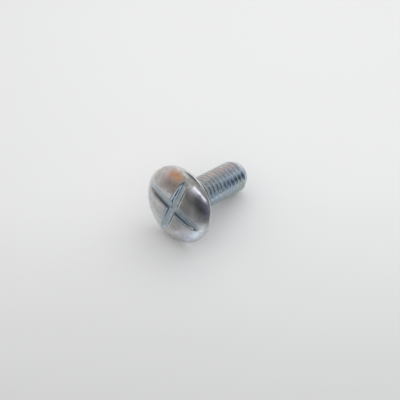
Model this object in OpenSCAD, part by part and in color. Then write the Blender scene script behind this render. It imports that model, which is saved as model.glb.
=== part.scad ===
// Mushroom-headed machine screw with a crossed slot, lying on a flat surface on its
// rim and its last thread. Millimetres. The head points to -X, the tip to +X.

/* [Thread] */
// Diameter over the thread's crests
thread_d = 5.9; // [5.3:0.05:6.5]
// Distance from one crest to the next
pitch = 1; // [0.7:0.05:1.25]
// Length under the head, from the bearing face to the tip
screw_len = 16; // [10:0.5:30]
// Length of the plain neck between the head and the thread
neck_len = 1.1; // [0.8:0.05:2]
// Radius of the fillet between the neck and the bearing face
neck_fillet = 0.45; // [0.4:0.05:0.8]
// Diameter of the flat end face
tip_d = 4.6; // [4:0.05:4.8]

/* [Head] */
// Diameter over the rim
head_d = 14.6; // [13:0.1:18]
// Height of the dome above the bearing face
head_h = 2.6; // [2.3:0.05:3.4]
// Radius that rounds the rim
rim_r = 0.5; // [0.3:0.05:0.7]

/* [Cross] */
// Width of a slot at its floor
slot_w = 1.45; // [1:0.05:2]
// Depth of the cross below the top of the dome
slot_depth = 1; // [0.6:0.05:1.2]
// Lean of each slot wall
slot_draft = 22; // [0:1:30]
// Distance from the axis at which a slot's floor runs out on the dome
slot_reach = 6.4; // [5:0.1:6.4]
// Turn of the cross, clockwise as the driver sees it
slot_turn = 13.5; // [-45:0.5:45]

/* [Hidden] */
$fn = 96;

zinc = [0.68, 0.71, 0.73];

// ISO 60 degree thread form: a quarter of the pitch is flat at the root, an eighth at the crest
crest_r = thread_d / 2;
root_r = crest_r - 0.5413 * pitch;
neck_r = crest_r - 0.3248 * pitch;
crest_half = pitch / 16;
foot_half = crest_half + 0.3125 * pitch;

// Thread mesh: steps in a turn, and how far it stays clear of the ends
turn_steps = 28;
end_gap = 0.1;
sunk = 0.5;
fade_len = 0.8 * pitch;
fade_in = turn_steps / 2;
tip_r = tip_d / 2;
first_z = -screw_len + end_gap + foot_half;
last_z = -neck_len + sunk - end_gap - foot_half;
steps = floor((last_z - first_z) / pitch * turn_steps);

// Dome: one arc from the top, tangent to the round of the rim
rim_x = head_d / 2 - rim_r;
dome_r = (pow(head_h - rim_r, 2) + pow(rim_x, 2) - pow(rim_r, 2)) / (2 * (head_h - 2 * rim_r));
rim_slope = atan2(rim_x, rim_r - head_h + dome_r);

// Slot floors: a shallow arc that meets the dome where the slot runs out
floor_z = head_h - slot_depth;
reach_z = head_h - dome_r + sqrt(pow(dome_r, 2) - pow(slot_reach, 2));
floor_drop = floor_z - reach_z;
floor_r = (pow(slot_reach, 2) + pow(floor_drop, 2)) / (2 * floor_drop);

// Angle of lie: the line that touches the rim below and a point of the shank,
// q along the axis and s out from it
function lie(q, s) = atan2(rim_x - s, q + rim_r)
    + asin(rim_r / norm([rim_x - s, q + rim_r]));
tilt = min(lie(screw_len - crest_r + tip_r, crest_r), lie(screw_len, tip_r));
rest_z = rim_x * cos(tilt) + rim_r - rim_r * sin(tilt);
back_x = (dome_r - head_h) * cos(tilt) - dome_r;
front_x = screw_len * cos(tilt) + tip_r * sin(tilt);

// Half of the head's section, from two regions that meet on a line through the tangent point
module head_section() {
    out = [sin(rim_slope), cos(rim_slope)];
    far = [rim_x, rim_r] + 2 * rim_r * out;
    intersection() {
        translate([0, head_h - dome_r]) circle(dome_r, $fn = 360);
        polygon([[0, 0], [rim_x, 0], [rim_x, rim_r], far, [far.x, 2 * head_h], [0, 2 * head_h]]);
    }
    intersection() {
        translate([rim_x, rim_r]) circle(rim_r);
        polygon([[rim_x, rim_r], far, [rim_x + 3 * rim_r, rim_r], [rim_x + 3 * rim_r, -rim_r],
                 [rim_x, -rim_r]]);
    }
}

// Cutter for one straight slot: leaning walls over an arched floor
module slot() {
    wall = tan(slot_draft) * 2 * head_h;
    below = tan(slot_draft) * floor_z;
    difference() {
        rotate([90, 0, 90])
            linear_extrude(head_d, center = true)
                polygon([[-slot_w / 2 + below, 0], [slot_w / 2 - below, 0],
                         [slot_w / 2 - below + wall, 2 * head_h], [-slot_w / 2 + below - wall, 2 * head_h]]);
        translate([0, 0, floor_z - floor_r])
            rotate([90, 0, 0])
                cylinder(r = floor_r, h = head_d, center = true, $fn = 720);
    }
}

module head() {
    difference() {
        rotate_extrude() head_section();
        for (a = [0, 90]) rotate(a - slot_turn) slot();
    }
}

// Plain neck with its fillet to the bearing face
module neck() {
    rotate_extrude()
        difference() {
            union() {
                translate([0, -neck_len]) square([neck_r, neck_len + rim_r]);
                translate([0, -neck_fillet]) square([neck_r + neck_fillet, neck_fillet]);
            }
            translate([neck_r + neck_fillet, -neck_fillet]) circle(neck_fillet);
        }
}

// How much of the thread's height there is at height z, after k steps
function rise(z, k) = max(0.1, min(1, (k + 2) / fade_in, (-neck_len - z) / fade_len));
// Radius of the chamfer at height z
function chamfer(z) = tip_r + z + screw_len;
function on(k, r, z) = [r * cos(360 * k / turn_steps), r * sin(360 * k / turn_steps), z];
function mid(k) = first_z + pitch * k / turn_steps;
function crest(k, z) = on(k, min(root_r + (crest_r - root_r) * rise(z, k), chamfer(z)), z);
function root(k, z) = on(k, min(root_r, chamfer(z)), z);

// The threaded shank is one strip of four points a step, wound up from the tip, closed by
// a ring and a cap at each end. A turn's last point faces the next turn's first.
module thread() {
    n = turn_steps;
    winding = [for (k = [0:steps]) let (z = mid(k)) each
        [root(k, z - foot_half), crest(k, z - crest_half), crest(k, z + crest_half), root(k, z + foot_half)]];
    low = len(winding);
    high = low + n;
    top = steps - n;
    rings = [for (i = [0:n - 1]) on(i, tip_r, -screw_len), for (i = [0:n - 1]) on(top + i, root_r, sunk - neck_len)];
    strip = [for (k = [0:steps - 1], j = [0:2]) [4 * k + j, 4 * k + j + 1, 4 * k + j + 5, 4 * k + j + 4]];
    grooves = [for (k = [0:top - 1]) [4 * k + 3, 4 * (k + n), 4 * (k + n) + 4, 4 * k + 7]];
    low_wall = [for (i = [0:n - 2]) [low + i, 4 * i, 4 * i + 4, low + i + 1]];
    low_step = let (a = 4 * (n - 1)) [[low + n - 1, 0, low], [low + n - 1, a, 0], [a, 3, 0], [a, 4 * n, 3], [0, 3, 2, 1]];
    high_wall = [for (i = [1:n - 2]) [4 * (top + i) + 3, high + i, high + i + 1, 4 * (top + i) + 7]];
    high_step = let (a = 4 * top + 7, e = 4 * steps)
        [[e - 1, high + n - 1, e + 3], [high + n - 1, high, e + 3],
         [a, high, high + 1], [a, e + 3, high], [a, e, e + 3], [a, a - 4, e], [e, e + 1, e + 2, e + 3]];
    caps = [[for (i = [0:n - 1]) low + i], [for (i = [n - 1:-1:0]) high + i]];
    polyhedron(concat(winding, rings), concat(strip, grooves, low_wall, low_step, high_wall, high_step, caps));
}

// The whole screw, laid down: the rim and the last thread touch z = 0
module screw() {
    color(zinc)
        translate([-(back_x + front_x) / 2, 0, rest_z])
            rotate([0, tilt - 90, 0])
                union() {
                    head();
                    neck();
                    thread();
                }
}

screw();
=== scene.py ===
import math

import bpy
import numpy as np
from mathutils import Matrix, Vector
from mathutils.geometry import delaunay_2d_cdt


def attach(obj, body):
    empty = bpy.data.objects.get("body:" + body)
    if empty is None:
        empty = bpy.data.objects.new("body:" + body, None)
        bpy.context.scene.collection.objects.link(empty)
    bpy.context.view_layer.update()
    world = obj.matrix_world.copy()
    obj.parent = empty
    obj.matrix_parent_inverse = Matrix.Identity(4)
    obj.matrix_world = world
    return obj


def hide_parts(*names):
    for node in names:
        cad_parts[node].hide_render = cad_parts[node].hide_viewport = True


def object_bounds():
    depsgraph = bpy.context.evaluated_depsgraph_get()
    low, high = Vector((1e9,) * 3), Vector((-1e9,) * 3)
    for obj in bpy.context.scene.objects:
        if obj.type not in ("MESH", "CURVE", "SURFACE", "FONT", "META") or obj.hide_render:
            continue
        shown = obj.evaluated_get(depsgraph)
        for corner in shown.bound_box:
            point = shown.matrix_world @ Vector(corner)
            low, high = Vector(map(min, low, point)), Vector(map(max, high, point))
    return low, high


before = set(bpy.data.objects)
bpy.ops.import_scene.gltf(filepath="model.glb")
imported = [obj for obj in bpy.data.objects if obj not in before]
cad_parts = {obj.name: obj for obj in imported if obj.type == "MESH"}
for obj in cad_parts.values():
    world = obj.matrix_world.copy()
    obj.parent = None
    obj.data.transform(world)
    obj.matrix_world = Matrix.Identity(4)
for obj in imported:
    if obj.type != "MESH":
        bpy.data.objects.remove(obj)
cad_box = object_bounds()

# Sizes of the screw in millimetres. It is built upright, with the bearing face at
# z = 0, the head above it and the thread below, and is then laid down.
THREAD_R = 2.95
PITCH = 1.0
LENGTH = 16.0
NECK = 1.1
FILLET = 0.45
TIP_R = 2.3
HEAD_R = 7.3
HEAD_H = 2.6
RIM_R = 0.5
CROWN_R = 40.0
SHOULDER_R = 5.0
SLOT_W = 1.0
SLOT_DEPTH = 0.75
SLOT_DRAFT = math.radians(34)
SLOT_REACH = 5.9
SLOT_TURN = math.radians(13.5)
END_CUP = 0.12

# How far corners are rounded over
EDGE_ROUND = 0.3
FLOOR_ROUND = 0.25
CROSS_ROUND = 0.12
CREST_ROUND = 0.045
ROOT_ROUND = 0.11
NECK_ROUND = 0.1
CHAMFER_ROUND = 0.12

# 60 degree thread form: a quarter of the pitch is flat at the root, an eighth at the crest
ROOT_R = THREAD_R - 0.5413 * PITCH
NECK_R = THREAD_R - 0.3248 * PITCH
CREST_HALF = PITCH / 16
FOOT_HALF = CREST_HALF + 0.3125 * PITCH

# The thread starts a little clear of the tip, rises over half a turn and fades at the neck
END_GAP = 0.1
FIRST_Z = -LENGTH + END_GAP + FOOT_HALF
LEAD_IN = 1 / 14
RISE_TURNS = 0.5
FADE_LEN = 0.8 * PITCH

# Crown, shoulder and rim are arcs that run into each other, so the shoulder's centre
# is SHOULDER_R - RIM_R from the rim's centre and CROWN_R - SHOULDER_R from the crown's
RIM_X = HEAD_R - RIM_R
CROWN_Z = HEAD_H - CROWN_R
APART = math.hypot(RIM_X, RIM_R - CROWN_Z)
FOOT = ((CROWN_R - SHOULDER_R) ** 2 - (SHOULDER_R - RIM_R) ** 2 + APART**2) / (2 * APART)
OFF = math.sqrt((CROWN_R - SHOULDER_R) ** 2 - FOOT**2)
SHOULDER_X = (RIM_X * FOOT - (RIM_R - CROWN_Z) * OFF) / APART
SHOULDER_Z = CROWN_Z + ((RIM_R - CROWN_Z) * FOOT + RIM_X * OFF) / APART
CROWN_EDGE = SHOULDER_X * CROWN_R / (CROWN_R - SHOULDER_R)
RIM_SLOPE = math.atan2(RIM_X - SHOULDER_X, RIM_R - SHOULDER_Z)
TOP_EDGE = RIM_X + RIM_R * math.sin(RIM_SLOPE)

# A slot's floor is an arc that meets the shoulder at the slot's reach
FLOOR_Z = HEAD_H - SLOT_DEPTH
REACH_Z = SHOULDER_Z + math.sqrt(SHOULDER_R**2 - (SLOT_REACH - SHOULDER_X) ** 2)
FLOOR_R = (SLOT_REACH**2 + (FLOOR_Z - REACH_Z) ** 2) / (2 * (FLOOR_Z - REACH_Z))

# The mesh: columns round the axis, steps along each part of the section, and lines across
# the head's top, as (end, step) spans outwards, finer at the slots' walls and the shoulder
RIM_COLUMNS = 192
SHANK_COLUMNS = 96
RIM_STEPS = 15
FACE_STEPS = 7
FILLET_STEPS = 8
END_STEPS = 13
END_INNER = 0.06
ROW = 0.0375
TOP_SPANS = [(0.5, 0.1), (1.5, 0.045), (5.0, 0.13), (TOP_EDGE, 0.06)]
EDGE_GAP = 0.07

# The cross is painted bluer and its walls darker still, the walls' darkness being painted shade:
# depth at which the cross has its full tint, and height over which its walls take their own
TINT_DEPTH = 0.25
WALL_RISE = 0.3
# How much of their painted shade the walls take at the most
WALL_PAINTED_SHADE = 0.6
# Turns round the shank that have the least tint, where a painted reflection makes its upper side
# lighter and less blue, and are the dullest, and how far that goes
PAINTED_REFLECTION_TURN = 0.08
PAINTED_REFLECTION_SHARE = 0.8
DULL_TURN = 0.45
DULL_FALL = 1.6


def lie(q, s):
    """Lean at which the rim and a point of the shank touch the floor.

    The point is q along the axis and s out from it.
    """
    return math.atan2(RIM_X - s, q + RIM_R) + math.asin(RIM_R / math.hypot(RIM_X - s, q + RIM_R))


def lay_down():
    """The matrix that lays the screw on its rim and its last thread, with its tip at the solid's."""
    tilt = min(lie(LENGTH - THREAD_R + TIP_R, THREAD_R), lie(LENGTH, TIP_R))
    height = RIM_X * math.cos(tilt) + RIM_R - RIM_R * math.sin(tilt)
    front = LENGTH * math.cos(tilt) + TIP_R * math.sin(tilt)
    place = Vector((cad_box[1][0] - front / 1000, 0, height / 1000))
    return Matrix.Translation(place) @ Matrix.Rotation(tilt - math.pi / 2, 4, "Y")


def smooth_min(a, b, k):
    """The smaller of two heights, with the corner between them rounded over k."""
    h = np.maximum(k - np.abs(a - b), 0) / k
    return np.minimum(a, b) - h * h * k / 4


def smooth_max(a, b, k):
    return -smooth_min(-a, -b, k)


# The head's top: a crown and a shoulder with two straight slots in them

def plain_height(u, v):
    """Height of the crown and the shoulder, without the slots."""
    r = np.hypot(u, v)
    crown = CROWN_Z + np.sqrt(CROWN_R**2 - r**2)
    shoulder = SHOULDER_Z + np.sqrt(SHOULDER_R**2 - (np.maximum(r, CROWN_EDGE) - SHOULDER_X) ** 2)
    return np.where(r < CROWN_EDGE, crown, shoulder)


def floor_height(along):
    return FLOOR_Z - FLOOR_R + np.sqrt(FLOOR_R**2 - along**2)


def slot_height(along, across):
    """Height of a slot with leaning walls and an arched floor."""
    wall = FLOOR_Z + (np.abs(across) - SLOT_W / 2) / math.tan(SLOT_DRAFT)
    return smooth_max(floor_height(along), wall, FLOOR_ROUND)


def top_height(u, v):
    cross = smooth_min(slot_height(u, v), slot_height(v, u), CROSS_ROUND)
    return smooth_min(plain_height(u, v), cross, EDGE_ROUND)


def mirrored_lines(spans):
    """Positions on both sides of 0, from (end, step) spans outwards."""
    found = [0.0]
    for end, step in spans:
        n = max(1, round((end - found[-1]) / step))
        found += list(np.linspace(found[-1], end, n + 1)[1:])
    half = np.array(found)
    return np.concatenate([-half[:0:-1], half])


def head_top():
    """Points and faces, and how far each point is in the cross and up a wall of it, from 0 to 1.

    The first RIM_COLUMNS points are the edge where the rim's round begins.
    """
    lines = mirrored_lines(TOP_SPANS)
    u, v = np.meshgrid(lines, lines)
    inside = np.hypot(u, v) < TOP_EDGE - EDGE_GAP
    ring = 2 * math.pi * np.arange(RIM_COLUMNS) / RIM_COLUMNS
    u = np.concatenate([TOP_EDGE * np.cos(ring + SLOT_TURN), u[inside]])
    v = np.concatenate([TOP_EDGE * np.sin(ring + SLOT_TURN), v[inside]])
    faces = delaunay_2d_cdt([Vector(p) for p in zip(u, v)], [], [], 0, 1e-6, False)[2]
    z = top_height(u, v)
    z[:RIM_COLUMNS] = RIM_R + RIM_R * math.cos(RIM_SLOPE)
    depth = np.clip((plain_height(u, v) - z) / TINT_DEPTH, 0, 1)
    above_floor = z - floor_height(np.maximum(np.abs(u), np.abs(v)))
    # How far up a wall each point is, which the material darkens as painted shade
    wall = WALL_PAINTED_SHADE * np.clip(above_floor / WALL_RISE, 0, 1) * depth
    x = u * math.cos(SLOT_TURN) + v * math.sin(SLOT_TURN)
    y = v * math.cos(SLOT_TURN) - u * math.sin(SLOT_TURN)
    return np.column_stack([x, y, z]), [tuple(f) for f in faces], depth, wall


# The shank and the rim: rings of points from the head's edge down to the tip

def shank_radius(turn, z):
    """Radius at a turn from 0 to 1 round the axis and a height z."""
    turns = turn + np.round((z - FIRST_Z) / PITCH - turn)
    crest_z = FIRST_Z + PITCH * turns
    height = THREAD_R - ROOT_R
    flank = (FOOT_HALF - np.abs(z - crest_z)) / (FOOT_HALF - CREST_HALF) * height
    flank = smooth_max(smooth_min(flank, height, CREST_ROUND), 0, ROOT_ROUND)
    rise = np.minimum((turns + LEAD_IN) / RISE_TURNS, (-NECK - crest_z) / FADE_LEN)
    thread = ROOT_R + flank * np.clip(rise, 0, 1)
    with_neck = smooth_max(thread, NECK_R + np.minimum(0, z + NECK), NECK_ROUND)
    return smooth_min(with_neck, TIP_R + z + LENGTH, CHAMFER_ROUND)


def ring_points(r, z, columns):
    """A ring of points; r is one radius or one for each point."""
    a = 2 * math.pi * np.arange(columns) / columns
    return np.column_stack([r * np.cos(a), r * np.sin(a), np.full(columns, z)])


def grid_faces(start, rows, columns):
    """Quads between rings of points that run anticlockwise from above, the highest first."""
    found = []
    for i in range(rows - 1):
        a = start + i * columns
        b = a + columns
        for j in range(columns):
            k = (j + 1) % columns
            found.append((a + j, b + j, b + k, a + k))
    return found


def rim_rings():
    """The rim's round and the bearing face, down to the fillet, without the head's edge."""
    rings = []
    for a in np.linspace(RIM_SLOPE, math.pi, RIM_STEPS + 1)[1:]:
        rings.append(ring_points(RIM_X + RIM_R * math.sin(a), RIM_R + RIM_R * math.cos(a), RIM_COLUMNS))
    for r in np.linspace(RIM_X, NECK_R + FILLET, FACE_STEPS + 1)[1:]:
        rings.append(ring_points(r, 0.0, RIM_COLUMNS))
    return rings


def shank_rings():
    """The fillet, the neck and thread, and the slightly hollow end face."""
    rings = []
    for a in np.linspace(0, math.pi / 2, FILLET_STEPS + 1)[1:]:
        r = NECK_R + FILLET * (1 - math.sin(a))
        rings.append(ring_points(r, FILLET * (math.cos(a) - 1), SHANK_COLUMNS))
    turn = np.arange(SHANK_COLUMNS) / SHANK_COLUMNS
    rows = round((LENGTH - FILLET) / ROW)
    for z in np.linspace(-FILLET, -LENGTH, rows + 1)[1:]:
        rings.append(ring_points(shank_radius(turn, z), z, SHANK_COLUMNS))
    end_r = np.hypot(rings[-1][:, 0], rings[-1][:, 1]).mean()
    for s in np.linspace(1, END_INNER, END_STEPS + 1)[1:]:
        rings.append(ring_points(end_r * s, -LENGTH + END_CUP * (1 - s * s), SHANK_COLUMNS))
    return rings


def screw_mesh():
    """The whole screw as one mesh, laid down."""
    top, faces, cross, wall = head_top()

    # The rim's first ring hangs from the top's edge, which is the top's first points
    rim = rim_rings()
    rim_start = len(top)
    for j in range(RIM_COLUMNS):
        k = (j + 1) % RIM_COLUMNS
        faces.append((j, rim_start + j, rim_start + k, k))
    faces += grid_faces(rim_start, len(rim), RIM_COLUMNS)

    # Half as many columns from the fillet on
    shank = shank_rings()
    shank_start = rim_start + len(rim) * RIM_COLUMNS
    rim_last = shank_start - RIM_COLUMNS
    for j in range(SHANK_COLUMNS):
        a = rim_last + 2 * j
        b = a + 1
        c = rim_last + (2 * j + 2) % RIM_COLUMNS
        p = shank_start + j
        q = shank_start + (j + 1) % SHANK_COLUMNS
        faces += [(a, p, b), (b, p, q), (b, q, c)]
    faces += grid_faces(shank_start, len(shank), SHANK_COLUMNS)

    # The middle of the end face
    end = shank_start + len(shank) * SHANK_COLUMNS
    shank_last = end - SHANK_COLUMNS
    for j in range(SHANK_COLUMNS):
        faces.append((shank_last + j, end, shank_last + (j + 1) % SHANK_COLUMNS))

    points = np.concatenate([top, *rim, *shank, [[0, 0, -LENGTH + END_CUP]]])
    mesh = bpy.data.meshes.new("screw_finish")
    mesh.from_pydata((points / 1000).tolist(), [], faces)
    for name, values in finish_and_painted_light_values(points, shank_start, cross, wall).items():
        mesh.attributes.new(name, "FLOAT", "POINT").data.foreach_set("value", values)
    mesh.transform(lay_down())
    mesh.shade_smooth()
    mesh.validate()
    return mesh


def finish_and_painted_light_values(points, shank_start, cross, wall):
    """How tinted and dull each point is, and how far in the cross and up its walls, from 0 to 1; the
    shank's upper side is less tinted as a painted reflection, and the walls carry painted shade.
    """
    turn = np.arctan2(points[:, 1], points[:, 0])
    on_shank = np.arange(len(points)) >= shank_start
    # The shank's upper side, painted lighter and less blue as a painted reflection
    plain = np.clip(np.cos(2 * (turn - PAINTED_REFLECTION_TURN)), 0, 1) * (points[:, 0] > 0)
    dull = np.clip(1 - DULL_FALL * (1 - np.cos(turn - DULL_TURN)), 0, 1)
    below = np.zeros(len(points) - len(cross))
    return {
        "tint": on_shank * (1 - PAINTED_REFLECTION_SHARE * plain),
        "dull": on_shank * dull,
        "cross": np.concatenate([cross, below]),
        "wall": np.concatenate([wall, below]),
    }


# Materials

class Nodes:
    """Short names for building a node tree. A value is a number or another node's output."""

    def __init__(self, tree):
        self.tree = tree

    def add(self, kind, **settings):
        node = self.tree.nodes.new(kind)
        for name, value in settings.items():
            setattr(node, name, value)
        return node

    def put(self, value, socket):
        if isinstance(value, (int, float)):
            socket.default_value = value
        else:
            self.tree.links.new(value, socket)

    def attribute(self, name):
        return self.add("ShaderNodeAttribute", attribute_name=name).outputs["Fac"]

    def coordinates(self, name):
        return self.add("ShaderNodeTexCoord").outputs[name]

    def multiply_add(self, value, factor, addend):
        node = self.add("ShaderNodeMath", operation="MULTIPLY_ADD")
        for socket, number in zip(node.inputs, (value, factor, addend)):
            self.put(number, socket)
        return node.outputs[0]

    def noise(self, vector, scale, detail, rough=0.5):
        node = self.add("ShaderNodeTexNoise")
        node.inputs["Scale"].default_value = scale
        node.inputs["Detail"].default_value = detail
        node.inputs["Roughness"].default_value = rough
        self.put(vector, node.inputs["Vector"])
        return node.outputs["Fac"]

    def ramp(self, value, stops):
        node = self.add("ShaderNodeValToRGB")
        found = node.color_ramp.elements
        while len(found) < len(stops):
            found.new(0.5)
        for element, (place, colour) in zip(found, stops):
            element.position = place
            element.color = (*colour, 1.0)
        self.put(value, node.inputs["Fac"])
        return node.outputs["Color"]

    def mix(self, factor, a, b, **settings):
        node = self.add("ShaderNodeMix", data_type="RGBA", **settings)
        self.put(factor, node.inputs["Factor"])
        self.put(a, node.inputs["A"])
        self.put(b, node.inputs["B"])
        return node.outputs["Result"]


def new_material(name):
    """A material with its nodes and its shader."""
    material = bpy.data.materials.new(name)
    material.use_nodes = True
    return material, Nodes(material.node_tree), material.node_tree.nodes["Principled BSDF"]


def grey(value, blue=0.0):
    return value, value, value + blue


# The plate's colours from patch to patch, the cross's from its floor to its walls, which are darker
# as painted shade, and the grain that varies them all
PLAIN_PLATE = [(0.36, (0.62, 0.63, 0.68)), (0.5, (0.64, 0.65, 0.67)), (0.62, (0.66, 0.66, 0.64))]
TINTED_PLATE = [(0.36, (0.46, 0.55, 0.63)), (0.5, (0.50, 0.58, 0.64)), (0.62, (0.56, 0.61, 0.62))]
CROSS_PLATE_AND_SHADE = [(0.0, (0.54, 0.63, 0.68)), (1.0, (0.17, 0.23, 0.28))]
GRAIN = [(0.36, grey(0.88, 0.01)), (0.6, grey(1.03))]
# How fine the noise is that makes each of them
PATCH_SCALE = 260
GRAIN_SCALE = 1100
GLOSS_SCALE = 900
BUMP_SCALE = 1700


def zinc_material():
    """Bright zinc plate: neutral on the head, bluer in the cross and on the shank, with painted shade
    on the cross's walls and a painted reflection that leaves the shank's upper side lighter and less
    blue.
    """
    material, n, shader = new_material("zinc_plate")
    coords = n.coordinates("Object")
    patches = n.noise(coords, PATCH_SCALE, 2.0)
    # Bluer on the shank, but lighter and less blue on its upper side as a painted reflection
    plate = n.mix(n.attribute("tint"), n.ramp(patches, PLAIN_PLATE), n.ramp(patches, TINTED_PLATE))
    # Bluer in the cross, with its walls darkened as painted shade
    plate = n.mix(n.attribute("cross"), plate, n.ramp(n.attribute("wall"), CROSS_PLATE_AND_SHADE))
    grain = n.ramp(n.noise(coords, GRAIN_SCALE, 3.0, 0.6), GRAIN)
    n.put(n.mix(1.0, plate, grain, blend_type="MULTIPLY"), shader.inputs["Base Color"])
    shader.inputs["Metallic"].default_value = 1.0

    rough = n.multiply_add(n.noise(coords, GLOSS_SCALE, 3.0), 0.10, 0.07)
    n.put(n.multiply_add(n.attribute("dull"), 0.25, rough), shader.inputs["Roughness"])
    bump = n.add("ShaderNodeBump")
    bump.inputs["Strength"].default_value = 0.35
    bump.inputs["Distance"].default_value = 0.00003
    n.put(n.noise(coords, BUMP_SCALE, 4.0, 0.6), bump.inputs["Height"])
    n.put(bump.outputs["Normal"], shader.inputs["Normal"])
    return material


# The camera looks along this heading, measured from +X towards +Y
VIEW_TURN = math.radians(41.7977)

# The floor's painted shade, darker towards the front: its colours from 50 mm in front of the middle
# to 5 mm behind it
FLOOR_PAINTED_SHADE = [(0.0, grey(0.67)), (0.3, grey(0.745)), (0.55, grey(0.80))]
FLOOR_SPAN = 0.1


def heading(turn):
    """Level direction at a turn in degrees to the right of the camera's heading."""
    a = VIEW_TURN - math.radians(turn)
    return Vector((math.cos(a), math.sin(a), 0.0))


def floor_material():
    """Matt grey, with painted shade that makes it a little darker from the screw towards the front."""
    material, n, shader = new_material("floor")
    way = n.add("ShaderNodeVectorMath", operation="DOT_PRODUCT")
    n.put(n.coordinates("Object"), way.inputs[0])
    way.inputs[1].default_value = heading(0)
    place = n.multiply_add(way.outputs["Value"], 1 / FLOOR_SPAN, 0.5)
    n.put(n.ramp(place, FLOOR_PAINTED_SHADE), shader.inputs["Base Color"])
    shader.inputs["Roughness"].default_value = 0.7
    return material


# Cards round the head's place on the floor that glow only in the metal's reflections, as painted
# reflections, and lamps

HEAD_PLACE = Vector((-0.0075, 0.0, 0.0))
SCREW_MIDDLE = Vector((0.0, 0.0, 0.005))
CARD_STEPS = 8
ON_FLOOR = 0.3


def fade(start, end, part):
    """A colour between two others; the part is held between 0 and 1."""
    return Vector(start).lerp(Vector(end), min(max(part, 0), 1))


def patched(backing, place, patches):
    """A card's colour at a place, from soft patches laid over its backing in turn.

    Each patch has its place, its reach both ways and its colour.
    """
    colour = Vector(backing)
    for middle, reach, patch in patches:
        off = math.hypot((place[0] - middle[0]) / reach[0], (place[1] - middle[1]) / reach[1])
        colour = colour.lerp(Vector(patch), math.exp(-off * off))
    return tuple(colour)


def column(turn, sheet, stand):
    """A card's column: its colours along the floor, outwards, then its (height, colour) pairs."""
    return turn, [(ON_FLOOR, colour) for colour in sheet] + stand


def blend_between(grid, axis):
    """Puts evenly blended points between a grid's points along one axis."""
    n = grid.shape[axis] - 1
    place = np.arange(n * CARD_STEPS + 1) / CARD_STEPS
    low = np.minimum(place.astype(int), n - 1)
    part = np.expand_dims(place - low, (1, 2) if axis == 0 else (0, 2))
    return np.take(grid, low, axis) * (1 - part) + np.take(grid, low + 1, axis) * part


def card(name, radii, columns):
    """A glowing curved card round the head, in millimetres, that only reflections show.

    Each column is a turn in degrees and its (height, colour) pairs from below, and each
    row has its own radius.
    """
    rows = []
    for turn, pairs in columns:
        rows.append([(turn, r, height, *colour) for r, (height, colour) in zip(radii, pairs)])
    grid = blend_between(blend_between(np.array(rows, float), 0), 1)
    points = []
    shades = []
    for turn, r, height, *colour in grid.reshape(-1, 6):
        place = heading(turn) * r / 1000 + HEAD_PLACE
        points.append((place.x, place.y, height / 1000))
        shades += [*colour, 1.0]
    width = grid.shape[1]
    faces = []
    for i in range(grid.shape[0] - 1):
        for a in range(i * width, i * width + width - 1):
            faces.append((a, a + 1, a + width + 1, a + width))
    mesh = bpy.data.meshes.new(name)
    mesh.from_pydata(points, [], faces)
    mesh.color_attributes.new("shade", "FLOAT_COLOR", "POINT").data.foreach_set("color", shades)

    material, n, shader = new_material(name)
    shader.inputs["Base Color"].default_value = (0, 0, 0, 1)
    shader.inputs["Specular IOR Level"].default_value = 0.0
    shader.inputs["Emission Strength"].default_value = 1.0
    shade = n.add("ShaderNodeVertexColor", layer_name="shade")
    n.put(shade.outputs["Color"], shader.inputs["Emission Color"])
    mesh.materials.append(material)
    found = bpy.data.objects.new(name, mesh)
    bpy.context.scene.collection.objects.link(found)
    found.visible_camera = False
    found.visible_diffuse = False
    found.visible_shadow = False


def softbox(name, turn, up, distance, size, glow):
    """A softbox that looks at the screw from a turn and a height in degrees, without a reflection.

    It is as bright as glow times white.
    """
    lamp = bpy.data.lights.new(name, "AREA")
    lamp.shape = "RECTANGLE"
    lamp.size, lamp.size_y = size
    lamp.energy = glow * math.pi * size[0] * size[1]
    up = math.radians(up)
    box = bpy.data.objects.new(name, lamp)
    box.location = (heading(turn) * math.cos(up) + Vector((0, 0, math.sin(up)))) * distance
    box.rotation_mode = "QUATERNION"
    box.rotation_quaternion = (SCREW_MIDDLE - box.location).to_track_quat("-Z", "Y")
    box.visible_glossy = False
    bpy.context.scene.collection.objects.link(box)


# The screw

screw = bpy.data.objects.new("screw_finish", screw_mesh())
bpy.context.scene.collection.objects.link(screw)
screw.data.materials.append(zinc_material())
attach(screw, "root")
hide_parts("screw")

# Floor

bpy.ops.mesh.primitive_plane_add(size=4.0, location=(0, 0, 0))
floor = bpy.context.object
floor.name = "floor"
floor.data.materials.append(floor_material())

# What the metal reflects: painted reflections on glowing cards

NAVY = (0.10, 0.16, 0.25)
BLUISH = (0.66, 0.70, 0.74)
PALE_BLUE = (0.64, 0.69, 0.75)
SKY_BLUE = (0.98, 1.08, 1.18)
WARM_DIM = (0.95, 0.86, 0.78)
WARM = (1.15, 1.0, 0.88)
WARM_BRIGHT = (1.3, 1.12, 1.0)
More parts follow.
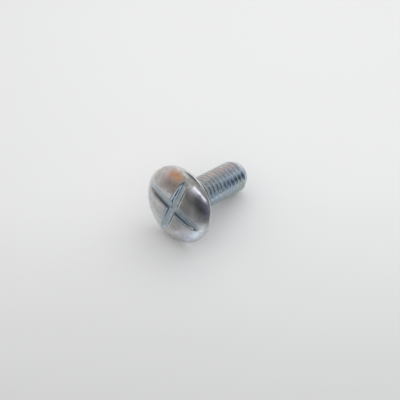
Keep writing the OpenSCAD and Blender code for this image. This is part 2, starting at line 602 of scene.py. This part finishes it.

# A grey sheet in front, darker than the floor, that paints the floor's shade into reflections, with
# a pale blue patch on it that paints a glint at the rim, and, from 26 mm out, a dark stand with a
# glowing strip of window across it that paints highlights on the metal
card("front_card", [3.5, 5, 8] + [26] * 7, [
    column(
        -113,
        [grey(0.55), grey(0.52), grey(0.40), grey(0.26)],
        [(8, grey(0.42)), (20, grey(0.46, 0.03)), (28, grey(0.46, 0.03)),
         (36, grey(0.48, 0.02)), (48, grey(0.45)), (60, grey(0.60))],
    ),
    column(
        -125,
        [grey(0.55), grey(0.52), grey(0.40), grey(0.22)],
        [(8, grey(0.14)), (20, grey(0.26)), (28, grey(0.42, 0.02)),
         (36, grey(0.48, 0.02)), (48, grey(0.42)), (60, grey(0.50))],
    ),
    column(
        -142,
        [grey(0.55), grey(0.66, 0.04), grey(0.50, 0.02), grey(0.32)],
        [(12, grey(0.14)), (19, grey(0.24)), (26, grey(0.46, 0.03)),
         (33, grey(0.70, 0.04)), (44, grey(0.40)), (60, grey(0.40))],
    ),
    column(
        -156,
        [grey(0.55), grey(0.62, 0.03), grey(0.56, 0.03), grey(0.30)],
        [(12, grey(0.09)), (22, grey(0.10)), (31, grey(0.80, 0.05)),
         (38, grey(1.75, 0.06)), (45, grey(0.60)), (60, grey(0.30))],
    ),
    column(
        -174,
        [grey(0.52), grey(0.60, 0.03), BLUISH, grey(0.26)],
        [(12, grey(0.05)), (22, grey(0.11, 0.02)), (29, grey(0.30, 0.02)),
         (34, grey(1.80, 0.06)), (38, grey(0.40)), (60, grey(0.24))],
    ),
    column(
        -194,
        [grey(0.48), PALE_BLUE, SKY_BLUE, grey(0.24)],
        [(10, grey(0.10, 0.03)), (18, grey(0.16, 0.05)), (21, grey(0.45, 0.05)),
         (25, grey(1.60, 0.08)), (28, grey(0.30, 0.05)), (50, grey(0.28))],
    ),
    column(
        -218,
        [grey(0.52), grey(0.50), grey(0.52), grey(0.36)],
        [(8, grey(0.26, 0.06)), (14, grey(0.28, 0.06)), (19, grey(0.32, 0.05)),
         (22, grey(0.50, 0.04)), (25, grey(0.30, 0.05)), (46, grey(0.32))],
    ),
])
# A dark blue card to the right
card("side_card", [34] * 5, [
    (142, [(5, grey(0.50)), (10, NAVY), (18, NAVY), (27, grey(0.32)), (42, grey(0.60))]),
    (115, [(5, grey(0.80)), (7, NAVY), (14, NAVY), (19, grey(0.45)), (26, grey(0.95))]),
    (90, [(5, grey(0.80)), (7, NAVY), (14, NAVY), (19, grey(0.50)), (26, grey(0.95))]),
    (65, [(5, grey(0.80)), (7, grey(0.45)), (14, grey(0.45)), (19, grey(0.80)), (26, grey(0.95))]),
])
# A small dark card beside the rim
card("rim_card", [16] * 3, [
    (138, [(6, grey(0.30)), (14, grey(0.24)), (26, grey(0.40))]),
    (104, [(7, grey(0.30)), (16, grey(0.24)), (30, grey(0.36))]),
    (72, [(9, grey(0.40)), (20, grey(0.34)), (34, grey(0.50))]),
])
# A pale card to the left that darkens towards the stand, a painted reflection, as (turn, height)
# patches: the grey sheet below, painted shade of the floor, something copper above, and its dark
# side next to the stand
WARM_R = 34
WARM_LEFT = grey(0.95)
WARM_RIGHT = (0.46, 0.42, 0.38)
WARM_STEPS = 12
WARM_SIDE = [
    ((-64, 0), (22, 22), grey(0.56)),
    ((-86, 32), (24, 16), (0.69, 0.36, 0.18)),
    ((-104, 11), (24, 12), (0.33, 0.26, 0.22)),
]
warm_columns = []
for turn in np.linspace(-50, -116, WARM_STEPS):
    backing = fade(WARM_LEFT, WARM_RIGHT, (turn + 72) / -30)
    pairs = []
    for height in np.linspace(1, 56, WARM_STEPS):
        pairs.append((height, patched(backing, (turn, height), WARM_SIDE)))
    warm_columns.append((turn, pairs))
card("warm_card", [WARM_R] * WARM_STEPS, warm_columns)
# The grey sheet, painted shade of the floor in reflections, runs on to the left
card("sheet_card", [8, 12, 18, 32], [
    column(-50, [grey(0.70)] * 4, []),
    column(-90, [grey(0.60), grey(0.62), grey(0.64), grey(0.64)], []),
    column(-105, [grey(0.46), grey(0.46), grey(0.52), grey(0.54)], []),
    column(-113, [grey(0.48), grey(0.46), grey(0.42), grey(0.30)], []),
])
# A glowing strip high behind, no lamp, which paints highlights along the thread's crests
card("crest_highlight_card", [60] * 3, [
    (-10, [(58, grey(1.2)), (66, grey(2.4)), (74, grey(1.2))]),
    (30, [(58, grey(1.2)), (66, grey(2.4)), (74, grey(1.2))]),
    (60, [(50, grey(1.1)), (57, grey(2.2)), (64, grey(1.1))]),
    (95, [(40, grey(1.0)), (47, grey(1.8)), (54, grey(1.0))]),
])
# A pale warm card behind, which the shank's upper edge reflects
card("back_card", [26] * 2, [
    (-45, [(ON_FLOOR, WARM_DIM), (12, WARM)]),
    (5, [(ON_FLOOR, WARM), (12, WARM_BRIGHT)]),
])

# Light: a softbox above, behind and a little to the right, and a plain sky, brightest
# halfway up and dark overhead

softbox("top", 22, 67, 0.145, (0.20, 0.17), 0.92)

SKY_STOPS = [
    (0.0, grey(0.75)),
    (0.3, grey(1.0)),
    (0.5, grey(1.1)),
    (0.66, grey(1.25)),
    (0.78, grey(1.1)),
    (0.86, (0.65, 0.66, 0.67)),
    (0.93, (0.20, 0.22, 0.24)),
]

world = bpy.data.worlds.new("studio")
bpy.context.scene.world = world
world.use_nodes = True
nodes = Nodes(world.node_tree)
background = world.node_tree.nodes["Background"]
way = nodes.add("ShaderNodeSeparateXYZ")
nodes.put(nodes.coordinates("Generated"), way.inputs[0])
nodes.put(nodes.ramp(way.outputs["Z"], SKY_STOPS), background.inputs["Color"])
background.inputs["Strength"].default_value = 0.84

# Camera

ELEVATION = math.radians(46.4)
AIM = Vector((-0.0039, -0.0022, 0.0073))
DISTANCE = 0.2533
FOV = math.radians(16.0)

forward = heading(0) * math.cos(ELEVATION) - Vector((0, 0, math.sin(ELEVATION)))
camera = bpy.data.objects.new("camera", bpy.data.cameras.new("camera"))
camera.data.sensor_width = 36.0
camera.data.lens = camera.data.sensor_width / 2 / math.tan(FOV / 2)
camera.data.clip_start = 0.01
camera.location = AIM - forward * DISTANCE
camera.rotation_mode = "QUATERNION"
camera.rotation_quaternion = forward.to_track_quat("-Z", "Y")
bpy.context.scene.collection.objects.link(camera)
bpy.context.scene.camera = camera
bpy.context.scene.view_settings.view_transform = "Standard"
